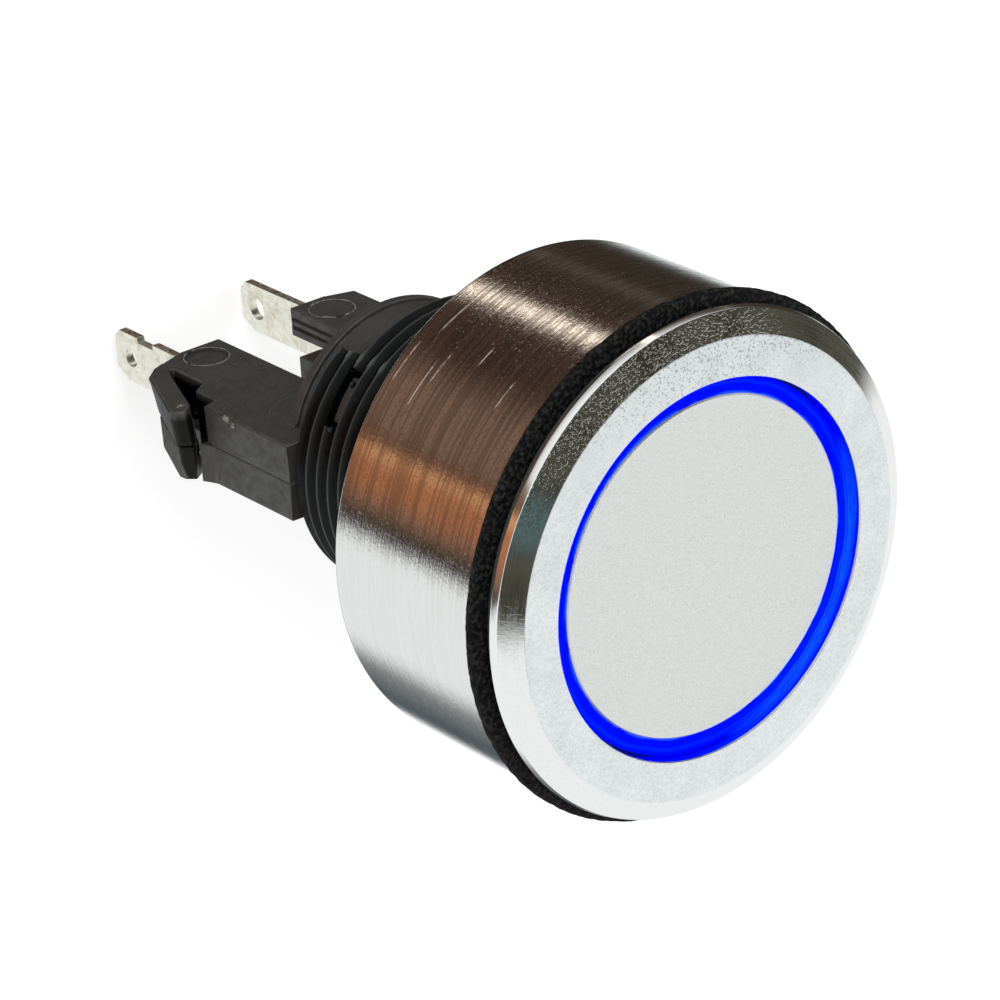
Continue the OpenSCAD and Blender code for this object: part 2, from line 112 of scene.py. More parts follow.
def new_piece(name, bm, sharp_from=soft_edge):
    """Makes an object of a bmesh; soft edges are smooth and sharp ones stay sharp."""
    bmesh.ops.recalc_face_normals(bm, faces=bm.faces)
    mesh = bpy.data.meshes.new(name)
    bm.to_mesh(mesh)
    bm.free()
    piece = bpy.data.objects.new(name, mesh)
    bpy.context.scene.collection.objects.link(piece)
    mesh.shade_smooth()
    mesh.set_sharp_from_angle(angle=math.radians(sharp_from))
    even = piece.modifiers.new("even_faces", "WEIGHTED_NORMAL")
    even.keep_sharp = True
    return piece


def ring_at(bm, radius, height, count=around):
    turn = [2 * math.pi * i / count for i in range(count)]
    return [bm.verts.new((radius * math.cos(a), radius * math.sin(a), height)) for a in turn]


def bridge_rings(bm, first, second):
    count = len(first)
    for i in range(count):
        bm.faces.new((first[i], first[(i + 1) % count], second[(i + 1) % count], second[i]))


def thread_point(share):
    """How deep the thread is at a share of its pitch, from crest to crest."""
    flank = (1 - crest_share - root_share) / 2
    if share < crest_share:
        from_edge = min(share, crest_share - share)
        return crest_round * max(0.0, 1 - from_edge / soft_share)
    if share < crest_share + flank:
        return crest_round + (1 - crest_round) * (share - crest_share) / flank
    if share < crest_share + flank + root_share:
        return 1.0
    return crest_round + (1 - crest_round) * (1 - share) / flank


def threaded_moulding():
    """The helical skin of the barrel; its two open ends are rings of points in order of angle."""
    bm = bmesh.new()
    flank = (1 - crest_share - root_share) / 2
    shares = [0, soft_share, crest_share - soft_share, crest_share, crest_share + flank,
              crest_share + flank + root_share]
    turns = int((thread_start - barrel_end) / pitch) + 3
    columns = []
    for step in range(turns * around + 1):
        angle = 2 * math.pi * step / around
        off = math.remainder(angle - lump_place, math.pi) / lump_width
        sunk = lump_height * (1 - math.exp(-off * off))
        for share in shares:
            height = thread_start + pitch - pitch * (step / around + share)
            depth = thread_depth * thread_point(share)
            clamped = min(thread_start, max(barrel_end, height))
            fade = min(1.0, max(0.0, (thread_start - clamped) / pitch))
            chamfer_r = thread_r - end_chamfer + max(0.0, clamped - barrel_end)
            radius = min(thread_r - (depth + sunk) * fade, chamfer_r)
            columns.append(bm.verts.new((radius * math.cos(angle), radius * math.sin(angle), clamped)))
    per_step = len(shares)
    per_turn = around * per_step
    for step in range((turns - 1) * around):
        for k in range(per_step):
            a = step * per_step + k
            b = a + per_step
            below = k + 1 < per_step
            c = b + 1 if below else b - per_step + 1 + per_turn
            d = a + 1 if below else a - per_step + 1 + per_turn
            bm.faces.new((columns[a], columns[b], columns[c], columns[d]))
    bmesh.ops.remove_doubles(bm, verts=bm.verts, dist=weld_gap)
    bmesh.ops.dissolve_degenerate(bm, dist=weld_gap, edges=bm.edges)
    loose = [v for v in bm.verts if not v.link_faces]
    bmesh.ops.delete(bm, geom=loose, context="VERTS")
    rim = {v for e in bm.edges if e.is_boundary for v in e.verts}
    middle = (thread_start + barrel_end) / 2

    def turn_of(v):
        return round(math.atan2(v.co.y, v.co.x) * around / (2 * math.pi)) % around

    top = sorted((v for v in rim if v.co.z > middle), key=turn_of)
    bottom = sorted((v for v in rim if v.co.z < middle), key=turn_of)
    return bm, top, bottom


def sector_block(r0, r1, z0, z1, start, span, rounding=0.0, steps=48):
    """A block cut from a ring, to cut a window or a notch with; its four corners can be round."""
    bm = bmesh.new()
    frames = []
    for i in range(steps + 1):
        angle = start + span * i / steps
        short = max(0.0, rounding - r1 * span * min(i, steps - i) / steps)
        pinch = rounding - math.sqrt(rounding ** 2 - short ** 2)
        frames.append([bm.verts.new((r * math.cos(angle), r * math.sin(angle), z))
                       for r, z in ((r0, z0 + pinch), (r1, z0 + pinch), (r1, z1 - pinch), (r0, z1 - pinch))])
    for first, second in zip(frames, frames[1:]):
        for k in range(4):
            bm.faces.new((first[k], first[(k + 1) % 4], second[(k + 1) % 4], second[k]))
    bm.faces.new(frames[0][::-1])
    bm.faces.new(frames[-1])
    return new_piece("cutter", bm)


def cut_away(piece, cutters):
    for cutter in cutters:
        cut = piece.modifiers.new("cut", "BOOLEAN")
        cut.operation = "DIFFERENCE"
        cut.solver = "EXACT"
        cut.object = cutter
    graph = bpy.context.evaluated_depsgraph_get()
    mesh = bpy.data.meshes.new_from_object(piece.evaluated_get(graph))
    for cut in [m for m in piece.modifiers if m.type == "BOOLEAN"]:
        piece.modifiers.remove(cut)
    piece.data = mesh
    for cutter in cutters:
        bpy.data.objects.remove(cutter)
    mesh.set_sharp_from_angle(angle=math.radians(soft_edge))


def finish_of(name, colour, roughness, metallic=0.0):
    """A material whose even colour and gloss sit on the shader itself; marks are added to it."""
    material = bpy.data.materials.new(name)
    material.use_nodes = True
    shader = material.node_tree.nodes["Principled BSDF"]
    shader.inputs["Base Color"].default_value = (*colour, 1)
    shader.inputs["Roughness"].default_value = roughness
    shader.inputs["Metallic"].default_value = metallic
    return material, material.node_tree


def feed(tree, socket, value):
    """Leads a value from other nodes into the shader, or sets an even one on it."""
    target = tree.nodes["Principled BSDF"].inputs[socket]
    if isinstance(value, bpy.types.NodeSocket):
        tree.links.new(value, target)
    else:
        target.default_value = value


def calc(tree, operation, *values):
    node = tree.nodes.new("ShaderNodeMath")
    node.operation = operation
    for socket, value in zip(node.inputs, values):
        if isinstance(value, bpy.types.NodeSocket):
            tree.links.new(value, socket)
        else:
            socket.default_value = value
    return node.outputs[0]


def both(tree, *shares):
    """Where several masks hold at once: their product."""
    held = shares[0]
    for share in shares[1:]:
        held = calc(tree, "MULTIPLY", held, share)
    return held


def off_from(tree, value, middle):
    """How far a value is from a middle, on either side."""
    return calc(tree, "ABSOLUTE", calc(tree, "SUBTRACT", value, middle))


def apart(tree, first, second):
    """The distance from an axis, from two offsets across it."""
    squares = [calc(tree, "POWER", offset, 2.0) for offset in (first, second)]
    return calc(tree, "SQRT", calc(tree, "ADD", *squares))


def place_of(tree):
    """The place on the piece, in metres, split into X, Y and Z."""
    place = tree.nodes.new("ShaderNodeTexCoord")
    split = tree.nodes.new("ShaderNodeSeparateXYZ")
    tree.links.new(place.outputs["Object"], split.inputs[0])
    return split.outputs


def grain(tree, size, stretch=(1, 1, 1), turn=(0, 0, 0), detail=2.0):
    """Noise laid in the piece's own metres: a grain is size across, and longer by its stretch."""
    place = tree.nodes.new("ShaderNodeTexCoord")
    lay = tree.nodes.new("ShaderNodeMapping")
    lay.vector_type = "TEXTURE"
    lay.inputs["Rotation"].default_value = turn
    lay.inputs["Scale"].default_value = [size * share for share in stretch]
    cloud = tree.nodes.new("ShaderNodeTexNoise")
    cloud.inputs["Scale"].default_value = 1.0
    cloud.inputs["Detail"].default_value = detail
    tree.links.new(place.outputs["Object"], lay.inputs["Vector"])
    tree.links.new(lay.outputs["Vector"], cloud.inputs["Vector"])
    return cloud.outputs["Fac"]


def between(tree, value, low, high, start=0.35, end=0.65):
    """Spreads a value that runs from start to end over low to high."""
    spread = tree.nodes.new("ShaderNodeMapRange")
    spread.inputs["From Min"].default_value = start
    spread.inputs["From Max"].default_value = end
    spread.inputs["To Min"].default_value = low
    spread.inputs["To Max"].default_value = high
    tree.links.new(value, spread.inputs["Value"])
    return spread.outputs["Result"]


def tones(tree, value, *stops):
    """A colour for each place along a value, blended between the stops."""
    ramp = tree.nodes.new("ShaderNodeValToRGB")
    points = ramp.color_ramp.elements
    while len(points) < len(stops):
        points.new(0.5)
    for point, (position, colour) in zip(points, stops):
        point.position = position
        point.color = (*colour, 1)
    tree.links.new(value, ramp.inputs[0])
    return ramp.outputs["Color"]


def blended(tree, share, first, second):
    """Two colours mixed by a share; each is a plain colour or comes from other nodes."""
    mix = tree.nodes.new("ShaderNodeMix")
    mix.data_type = "RGBA"
    for socket, value in zip((mix.inputs[0], mix.inputs[6], mix.inputs[7]), (share, first, second)):
        if isinstance(value, bpy.types.NodeSocket):
            tree.links.new(value, socket)
        else:
            socket.default_value = value if isinstance(value, float) else (*value, 1)
    return mix.outputs[2]


def relief(tree, height, depth):
    """Raises the surface by a height of 0 to 1 times a real depth, on top of earlier reliefs."""
    shader = tree.nodes["Principled BSDF"]
    bump = tree.nodes.new("ShaderNodeBump")
    bump.inputs["Distance"].default_value = depth
    bump.inputs["Strength"].default_value = 1.0
    if shader.inputs["Normal"].links:
        tree.links.new(shader.inputs["Normal"].links[0].from_socket, bump.inputs["Normal"])
    tree.links.new(height, bump.inputs["Height"])
    feed(tree, "Normal", bump.outputs["Normal"])


bm, thread_top, thread_bottom = threaded_moulding()
profile = [
    (thread_r - thread_depth / 4, 0), (spigot_r - edge_round / 2, 0), (spigot_r, edge_round / 2),
    (spigot_r, flange_low), (flange_r - edge_round, flange_low),
    (flange_r - edge_round / 3, flange_low + edge_round / 3), (flange_r, flange_low + edge_round),
    (flange_r, flange_top - edge_round / 2), (flange_r - edge_round / 2, flange_top),
    (pocket_r, flange_top), (pocket_r, floor_top), (guide_r + edge_round / 2, floor_top),
    (guide_r, floor_top - edge_round / 2), (guide_r, bore_step), (bore_r, bore_step), (bore_r, barrel_end),
]
rings = [thread_top] + [ring_at(bm, r, z) for r, z in profile] + [thread_bottom]
for first, second in zip(rings, rings[1:]):
    bridge_rings(bm, first, second)
body = new_piece("body_moulding", bm)
clear = 1 * mm
cutters = []
for half_turn in (0, math.pi):
    cutters.append(sector_block(bore_r - clear, thread_r + clear, barrel_end - clear, notch_top,
                                notch_start + half_turn, notch_span, corner_round))
    cutters.append(sector_block(bore_r - clear, thread_r + clear, window_low, window_high,
                                window_start + half_turn, window_span, corner_round))
    cutters.append(sector_block(bore_r - clear, groove_r, window_low + groove_inset,
                                window_high - groove_inset, groove_start + half_turn, groove_span))
cut_away(body, cutters)
bm = bmesh.new()
bm.from_mesh(body.data)
for bearing, height in pin_marks:
    turn = math.radians(bearing)
    place = Vector((pin_reach * math.cos(turn), pin_reach * math.sin(turn), height))
    bmesh.ops.create_icosphere(bm, subdivisions=3, radius=pin_r, matrix=Matrix.Translation(place))
for face in bm.faces:
    face.smooth = True
bm.to_mesh(body.data)
bm.free()
body_finish, tree = finish_of("body_plastic_finish", body_black, 0.36)
x, y, z = place_of(tree)
from_axis = apart(tree, x, y)
on_crest = between(tree, from_axis, 0.0, 1.0, thread_r - lump_height - crest_depth, thread_r - lump_height)
on_lump = between(tree, from_axis, 0.0, 1.0, thread_r - lump_height / 2, thread_r - lump_height / 4)
in_root = between(tree, from_axis, 1.0, 0.0, thread_r - thread_depth, thread_r - thread_depth / 2)
plain = tones(tree, grain(tree, cloud_size, (1, 1, 2)), (0.3, body_black), (0.75, body_dull))
# Painted shade in the thread roots, then painted highlights on the crests and on the lumps by the notch
# edges; the crest mask also raises the specular there.
plain = blended(tree, in_root, plain, root_shade_black)
sheen_and_wear = blended(tree, on_crest, plain, crest_highlight_grey)
feed(tree, "Base Color", blended(tree, on_lump, sheen_and_wear, lump_highlight_grey))
feed(tree, "Specular IOR Level", between(tree, on_crest, 0.12, 0.5, 0.0, 1.0))
feed(tree, "Roughness", between(tree, grain(tree, gloss_size), *body_gloss))
relief(tree, grain(tree, mould_grain), mould_depth)
relief(tree, grain(tree, sink_size, (1, 1, 0.5)), sink_depth)
body.data.materials.clear()
body.data.materials.append(body_finish)
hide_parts("threaded_body")
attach(body, "housing")

# The panel gasket: a washer punched from black rubber sheet. It sits on the body's spigot and is
# squeezed between flange and panel, and its punched rim is slightly ragged.
gasket_out = 22.78 * mm
gasket_in = 18.5 * mm
gasket_t = 0.85 * mm
gasket_soft = 0.16 * mm
gasket_ragged = 0.1 * mm
gasket_steps = 480
round_edge = 50
rag_size = 0.9 * mm
fine_rag_size = 0.3 * mm
rag_share = 0.6
rubber_black = (0.003, 0.003, 0.0033)
rubber_dusty = (0.036, 0.036, 0.034)
dust_size = 0.4 * mm
dust_depth = 0.06 * mm
rubber_patch = 0.8 * mm
rubber_gloss = (0.6, 0.9)
rubber_shine = 0.15
bm = bmesh.new()
gasket_profile = [
    (gasket_in, 0), (gasket_out - gasket_soft, 0), (gasket_out, gasket_soft),
    (gasket_out, gasket_t / 2), (gasket_out, gasket_t - gasket_soft),
    (gasket_out - gasket_soft, gasket_t), (gasket_in, gasket_t),
]
rings = []
for radius, height in gasket_profile:
    ring = ring_at(bm, radius, height, gasket_steps)
    for v in ring:
        if radius > gasket_in:
            wide, fine = noise.noise(v.co / rag_size), noise.noise(v.co / fine_rag_size)
            ragged = wide * rag_share + fine * (1 - rag_share)
            v.co.xy *= 1 + ragged * gasket_ragged / radius
    rings.append(ring)
for first, second in zip(rings, rings[1:] + rings[:1]):
    bridge_rings(bm, first, second)
gasket = new_piece("gasket_ring", bm, round_edge)
gasket_finish, tree = finish_of("gasket_rubber_finish", rubber_black, 0.75)
feed(tree, "Specular IOR Level", rubber_shine)
dusty = grain(tree, dust_size, detail=4)
feed(tree, "Base Color", tones(tree, dusty, (0.45, rubber_black), (0.75, rubber_dusty)))
feed(tree, "Roughness", between(tree, grain(tree, rubber_patch), *rubber_gloss))
relief(tree, dusty, dust_depth)
gasket.data.materials.append(gasket_finish)
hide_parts("panel_gasket")
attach(gasket, "housing")

# The bezel: turned from aluminium bar and pressed into the body's pocket. Its flat face is bead
# blasted, and the bevel and the rim are cut last and left bright.
face_top = 3.9 * mm
rim_r = 22.0 * mm
bevel_w = 2.15 * mm
bevel_h = 1.2 * mm
opening_r = 16.4 * mm
skirt_r = 17.2 * mm
brow = 0.15 * mm
crown_low = 2.22 * mm
crown_w = 0.16 * mm
crown_round = 0.08 * mm
corner_steps = 4
bright = (0.9, 0.9, 0.89)
blasted = (0.93, 0.94, 0.95)
blast_shade = (0.8, 0.815, 0.83)
face_skin = 0.03 * mm
blast_size = 0.2 * mm
blast_depth = 0.045 * mm
wear_size = 2.5 * mm
face_gloss = (0.36, 0.48)
lathe_pitch = 0.09 * mm
lathe_depth = 0.0015 * mm
bevel_gloss = (0.09, 0.17)
soil_grey = (0.4, 0.41, 0.39)
soil_size = 0.2 * mm
soil_reach = (-18 * mm, -12 * mm)
pit_grey = (0.7, 0.71, 0.6)
pit_size = 0.26 * mm
pit_depth = 0.013 * mm
pit_dull = 0.1
pit_reach_y = (-17 * mm, -9 * mm)
pit_reach_x = (-9 * mm, -4 * mm)
turned_steps = 256
turned_edge = 30


def turned(name, outline):
    """Corners of radius, height and rounding, joined up and spun round the button's axis."""
    bm = bmesh.new()
    rings = []
    for i, (radius, height, rounding) in enumerate(outline):
        corner = Vector((radius, height))
        before = (Vector(outline[i - 1][:2]) - corner).normalized() * rounding
        after = (Vector(outline[(i + 1) % len(outline)][:2]) - corner).normalized() * rounding
        steps = corner_steps if rounding else 0
        for k in range(steps + 1):
            share = k / steps if steps else 0
            point = corner + before * (1 - share) ** 2 + after * share ** 2
            rings.append(ring_at(bm, point.x, point.y, turned_steps))
    for first, second in zip(rings, rings[1:] + rings[:1]):
        bridge_rings(bm, first, second)
    return new_piece(name, bm, turned_edge)


crown_top = face_top - bevel_h + crown_w * bevel_h / bevel_w
bezel = turned("bezel_ring", [
    (opening_r, floor_top, 0), (skirt_r, floor_top, 0), (skirt_r, flange_top + brow, 0),
    (rim_r, flange_top + brow, crown_round / 2), (rim_r, crown_low, crown_round / 2),
    (rim_r - crown_w, crown_top, crown_round),
    (rim_r - bevel_w, face_top, brow / 2), (opening_r, face_top, brow),
])
bezel_finish, tree = finish_of("bezel_finish", bright, 0.16, 1.0)
x, y, z = place_of(tree)
on_face = calc(tree, "GREATER_THAN", z, face_top - face_skin)
off_face = calc(tree, "SUBTRACT", 1.0, on_face)
blast = grain(tree, blast_size, detail=3)
lathe_lines = grain(tree, lathe_pitch, (60, 60, 1))
blast_tone = tones(tree, blast, (0.35, blast_shade), (0.6, blasted))
soiled = both(tree, between(tree, y, 1.0, 0.0, *soil_reach),
              between(tree, grain(tree, soil_size), 0.0, 0.8, 0.54, 0.62))
pits = both(tree, between(tree, y, 1.0, 0.1, *pit_reach_y), between(tree, x, 0.1, 1.0, *pit_reach_x),
            calc(tree, "GREATER_THAN", z, crown_top),
            between(tree, grain(tree, pit_size), 0.0, 1.0, 0.52, 0.6))
bevel_tone = blended(tree, pits, bright, pit_grey)
face_tone = blended(tree, soiled, blast_tone, soil_grey)
feed(tree, "Base Color", blended(tree, on_face, bevel_tone, face_tone))
cut_dull = between(tree, lathe_lines, *bevel_gloss)
cut_dull = calc(tree, "ADD", cut_dull, calc(tree, "MULTIPLY", pits, pit_dull))
blasted_dull = between(tree, grain(tree, wear_size, detail=4), *face_gloss)
dull = calc(tree, "ADD", both(tree, off_face, cut_dull), both(tree, on_face, blasted_dull))
feed(tree, "Roughness", dull)
relief(tree, both(tree, blast, on_face), blast_depth)
relief(tree, lathe_lines, lathe_depth)
relief(tree, both(tree, pits, off_face), pit_depth)
bezel.data.materials.append(bezel_finish)
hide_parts("bezel")
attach(bezel, "housing")

# The light guide: a clear acrylic plunger, lit blue from behind, whose rim shows as a ring round
# the cap. Its skirt is slit into fingers that snap into the body, and its rod works the switch.
ring_blue = (0.0, 0.001, 0.75)
ring_line = (0.0, 0.011, 0.95)
ring_pale = (0.005, 0.1, 0.95)
ring_rim = (0.0, 0.0, 0.6)
ring_deep = (0.0, 0.003, 0.4)
cap_glow = (0.01, 0.07, 1.0)
edge_glow = (0.1, 0.42, 1.0)
ring_inner = 14.85 * mm
ring_outer = 16.4 * mm
glow_strength = 1.15
ripple_size = 3 * mm
ripple = (-0.05, 0.05)
bright_x = 0.87
bright_y = 0.5
pale_reach = (9.5 * mm, 14.5 * mm)
guide_patch = 0.6 * mm
guide_gloss = (0.12, 0.28)
wave_size = 1.2 * mm
wave_depth = 0.03 * mm
plain_stops = [
    (0.0, cap_glow), (0.03, ring_blue), (0.42, ring_blue), (0.5, ring_line), (0.6, ring_line),
    (0.68, ring_blue), (1.0, ring_rim),
]
pale_stops = [
    (0.0, edge_glow), (0.05, ring_line), (0.12, ring_blue), (0.34, ring_line), (0.45, ring_blue),
    (0.6, ring_line), (0.68, ring_pale), (0.76, ring_line), (0.85, ring_pale), (1.0, ring_rim),
]


def coat(finish, *names):
    """Gives CAD pieces a finish in place of their plain colour."""
    for name in names:
        for material_slot in nodes[name].material_slots:
            material_slot.material = finish


guide_finish, tree = finish_of("lit_ring_finish", ring_deep, 0.3)
feed(tree, "Emission Strength", glow_strength)
feed(tree, "Specular IOR Level", 0.0)
x, y, z = place_of(tree)
from_axis = apart(tree, x, y)
across = between(tree, from_axis, 0.0, 1.0, ring_inner, ring_outer)
across = calc(tree, "ADD", across, between(tree, grain(tree, ripple_size), *ripple))
brighter_side = calc(tree, "SUBTRACT", calc(tree, "MULTIPLY", y, bright_y),
                     calc(tree, "MULTIPLY", x, bright_x))
paler = between(tree, brighter_side, 0.0, 0.9, *pale_reach)
glow = blended(tree, paler, tones(tree, across, *plain_stops), tones(tree, across, *pale_stops))
feed(tree, "Emission Color", glow)
feed(tree, "Roughness", between(tree, grain(tree, guide_patch), *guide_gloss))
relief(tree, grain(tree, wave_size), wave_depth)
coat(guide_finish, "light_guide")

# The press cap: a disc of aluminium, brushed straight across in one pass and pressed into the
# light guide's seat.
cap_silver = (0.84, 0.85, 0.82)
cap_warm = (0.8, 0.81, 0.785)
cap_shade = (0.7, 0.71, 0.69)
brush_turn = (0, 0, math.radians(-19))
brush_size = 0.1 * mm
brush_depth = 0.006 * mm
broad_size = 0.35 * mm
speck_size = 0.16 * mm
speck_depth = 0.02 * mm
cap_gloss = (0.32, 0.42)
cap_finish, tree = finish_of("press_cap_finish", cap_silver, 0.4, 1.0)
brushed = grain(tree, brush_size, (10, 1, 1), brush_turn, 4)
broad = grain(tree, broad_size, (9, 1, 1), brush_turn, 4)
fine = grain(tree, speck_size, detail=4)
speckled = tones(tree, fine, (0.35, cap_shade), (0.6, cap_silver))
feed(tree, "Base Color", blended(tree, between(tree, broad, 0.0, 0.6), speckled, cap_warm))
feed(tree, "Roughness", between(tree, brushed, *cap_gloss))
relief(tree, brushed, brush_depth)
relief(tree, fine, speck_depth)
coat(cap_finish, "press_cap")

# The return spring: hard-drawn steel wire, coiled and ground flat at its ends, between the contact
# module and the light guide's crown.
spring_r = 9.3 * mm
spring_wire = 0.6 * mm
spring_turns = 6
spring_low = -12.0 * mm
spring_high = 1.0 * mm
wire_sides = 12
steps_per_turn = 48
flat_turns = 0.8
steel = (0.56, 0.56, 0.55)
steel_dull = (0.42, 0.41, 0.4)
steel_patch = 1 * mm
draw_size = 0.12 * mm
draw_depth = 0.006 * mm
wire_gloss = (0.22, 0.42)


def coil(name, radius, wire, turns, low, high):
    """Round wire wound into a compression spring whose end turns lie flat."""
    bm = bmesh.new()
    start, rise = low + wire / 2, high - low - 3 * wire
    rings = []
    for i in range(turns * steps_per_turn + 1):
        t = i / steps_per_turn
        climb = min(1, t / flat_turns) + max(0, min(1, (t - turns + flat_turns) / flat_turns))
        run = max(0, min(1, (t - flat_turns) / (turns - 2 * flat_turns)))
        height = start + wire * climb + rise * run
        turn = 2 * math.pi * t
        ring = []
        for k in range(wire_sides):
            side = 2 * math.pi * k / wire_sides
            reach = radius + wire / 2 * math.cos(side)
            ring.append(bm.verts.new((reach * math.cos(turn), reach * math.sin(turn),
                                      height + wire / 2 * math.sin(side))))
        rings.append(ring)
    for first, second in zip(rings, rings[1:]):
        bridge_rings(bm, first, second)
    bm.faces.new(rings[0][::-1])
    bm.faces.new(rings[-1])
    return new_piece(name, bm, round_edge)


spring_finish, tree = finish_of("spring_finish", steel, 0.3, 1.0)
drawn = grain(tree, draw_size, (3, 3, 1))
feed(tree, "Base Color", tones(tree, grain(tree, steel_patch), (0.3, steel_dull), (0.7, steel)))
feed(tree, "Roughness", between(tree, drawn, *wire_gloss))
relief(tree, drawn, draw_depth)
return_coil = coil("return_coil", spring_r, spring_wire, spring_turns, spring_low, spring_high)
return_coil.data.materials.append(spring_finish)
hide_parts("return_spring")
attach(return_coil, "housing")
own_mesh(return_coil)

# The lamp board: a round glass-fibre board with green solder mask and tinned pads, pushed onto the
# module's nose, with four light-emitting diodes and two chip resistors soldered to it.
mask_green = (0.02, 0.13, 0.06)
mask_pale = (0.03, 0.17, 0.08)
mask_edge = (0.45, 0.42, 0.25)
pad_tin = (0.72, 0.71, 0.68)
lead_place = 7.5 * mm
pad_r = 0.75 * mm
board_rim = 8.35 * mm
weave_size = 0.7 * mm
track_size = 0.4 * mm
track_depth = 0.01 * mm
board_patch = 0.3 * mm
board_gloss = (0.25, 0.45)
board_finish, tree = finish_of("lamp_board_finish", mask_green, 0.35)
x, y, z = place_of(tree)
off_lead = calc(tree, "SUBTRACT", calc(tree, "ABSOLUTE", x), lead_place)
on_pad = calc(tree, "LESS_THAN", apart(tree, off_lead, y), pad_r)
bare_rim = calc(tree, "GREATER_THAN", apart(tree, x, y), board_rim)
mask = tones(tree, grain(tree, weave_size, (4, 1, 1)), (0.4, mask_green), (0.6, mask_pale))
coloured = blended(tree, bare_rim, mask, mask_edge)
feed(tree, "Base Color", blended(tree, on_pad, coloured, pad_tin))
feed(tree, "Metallic", on_pad)
feed(tree, "Roughness", between(tree, grain(tree, board_patch), *board_gloss))
relief(tree, grain(tree, track_size, (3, 1, 1)), track_depth)
coat(board_finish, "lamp_board")

led_white = (0.82, 0.83, 0.84)
led_cream = (0.74, 0.74, 0.7)
phosphor = (0.2, 0.35, 0.95)
lens_floor = -7.25 * mm
lens_depth = 0.1 * mm
led_patch = 0.5 * mm
led_grain = 0.2 * mm
led_depth = 0.005 * mm
led_gloss = (0.2, 0.4)
led_finish, tree = finish_of("led_package_finish", led_white, 0.3)
x, y, z = place_of(tree)
in_lens = both(tree, calc(tree, "GREATER_THAN", z, lens_floor - lens_depth),
               calc(tree, "LESS_THAN", z, lens_floor))
package = tones(tree, grain(tree, led_patch), (0.3, led_white), (0.7, led_cream))
feed(tree, "Base Color", blended(tree, in_lens, package, phosphor))
feed(tree, "Roughness", between(tree, grain(tree, led_grain), *led_gloss))
relief(tree, grain(tree, led_grain), led_depth)
coat(led_finish, "lamp_leds")

chip_black = (0.02, 0.02, 0.022)
chip_grey = (0.05, 0.05, 0.05)
cap_tin = (0.75, 0.73, 0.68)
chip_middle = 6.2 * mm
chip_half = 0.7 * mm
chip_patch = 0.2 * mm
chip_grain = 0.15 * mm
chip_gloss = (0.3, 0.5)
resistor_finish, tree = finish_of("resistor_finish", chip_black, 0.4)
x, y, z = place_of(tree)
end_cap = calc(tree, "GREATER_THAN", off_from(tree, calc(tree, "ABSOLUTE", y), chip_middle), chip_half)
chip = tones(tree, grain(tree, chip_patch), (0.4, chip_black), (0.7, chip_grey))
feed(tree, "Base Color", blended(tree, end_cap, chip, cap_tin))
feed(tree, "Metallic", end_cap)
feed(tree, "Roughness", between(tree, grain(tree, chip_grain), *chip_gloss))
coat(resistor_finish, "lamp_resistors")

# The lamp leads: tinned copper wire from the board down to each contact strip, so that the lamp is
# fed across the two terminals.
tinned = (0.72, 0.7, 0.65)
tinned_dull = (0.6, 0.57, 0.5)
lead_patch = 0.6 * mm
lead_grain = 0.15 * mm
lead_depth = 0.01 * mm
lead_gloss = (0.22, 0.45)
lead_finish, tree = finish_of("lead_wire_finish", tinned, 0.3, 1.0)
feed(tree, "Base Color", tones(tree, grain(tree, lead_patch), (0.35, tinned_dull), (0.65, tinned)))
drawn = grain(tree, lead_grain, (1, 1, 8))
feed(tree, "Roughness", between(tree, drawn, *lead_gloss))
relief(tree, drawn, lead_depth)
coat(lead_finish, "lamp_lead_common", "lamp_lead_open")

# The clamp collar: a deep nut turned from aluminium tube, with a threaded web that runs on the
# barrel. It draws up behind the panel, and its polished wall hides the barrel's front half.
collar_r = 22.1 * mm
collar_len = 17.6 * mm
collar_wall = 2.6 * mm
collar_web = 8.0 * mm
hole_r = 14.06 * mm
lead_in = 0.7 * mm
collar_edge = 0.22 * mm
turned_silver = (0.84, 0.83, 0.82)
turned_dull = (0.8, 0.79, 0.78)
turned_dark = (0.54, 0.525, 0.51)
scratch_silver = (0.95, 0.93, 0.88)
scratches = [
    (-50, -16.65 * mm, 6), (-51.5, -12.7 * mm, 5), (-52, -4.7 * mm, 4),
    (-47, -13.6 * mm, 7), (-58, -9.2 * mm, 3), (-63, -15.4 * mm, 5),
]
scratch_fade = 0.6
scratch_slant = 0.02 * mm
scratch_w = (0.05 * mm, 0.12 * mm)
scratch_break = 0.5 * mm
scratch_rough = 0.5
line_size = 0.13 * mm
line_depth = 0.012 * mm
line_gloss = (0.06, 0.13)
tone_size = 0.3 * mm
spot_size = 0.26 * mm
spot_depth = 0.008 * mm
spot_dull = 0.16
scuff_size = 4 * mm
scuff_depth = 0.01 * mm
chatter_size = 0.34 * mm
chatter_dull = 0.05
fleck_size = 0.17 * mm
dull_reach = (-17, -8)
pocket_end = collar_web - collar_len
inner_r = collar_r - collar_wall
collar = turned("collar_ring", [
    (inner_r, 0, brow), (collar_r, 0, collar_edge), (collar_r, -collar_len, collar_edge),
    (hole_r + lead_in, -collar_len, 0), (hole_r, lead_in - collar_len, 0), (hole_r, pocket_end - lead_in, 0),
    (hole_r + lead_in, pocket_end, 0), (inner_r, pocket_end, brow),
])
collar_finish, tree = finish_of("collar_finish", turned_silver, 0.18, 1.0)
tool_lines = grain(tree, line_size, (50, 50, 1), detail=3)
spots = grain(tree, spot_size, detail=5)
x, y, z = place_of(tree)
bearing = calc(tree, "MULTIPLY", calc(tree, "ARCTAN2", y, x), 180 / math.pi)
scratched = 0.0
for middle, height, half in scratches:
    near = between(tree, off_from(tree, bearing, middle), 1.0, 0.0, half * scratch_fade, half)
    slant = calc(tree, "MULTIPLY", calc(tree, "SUBTRACT", bearing, middle), scratch_slant)
    level = calc(tree, "ADD", z, slant)
    thin = between(tree, off_from(tree, level, height), 1.0, 0.0, *scratch_w)
    scratched = calc(tree, "MAXIMUM", scratched, both(tree, near, thin))
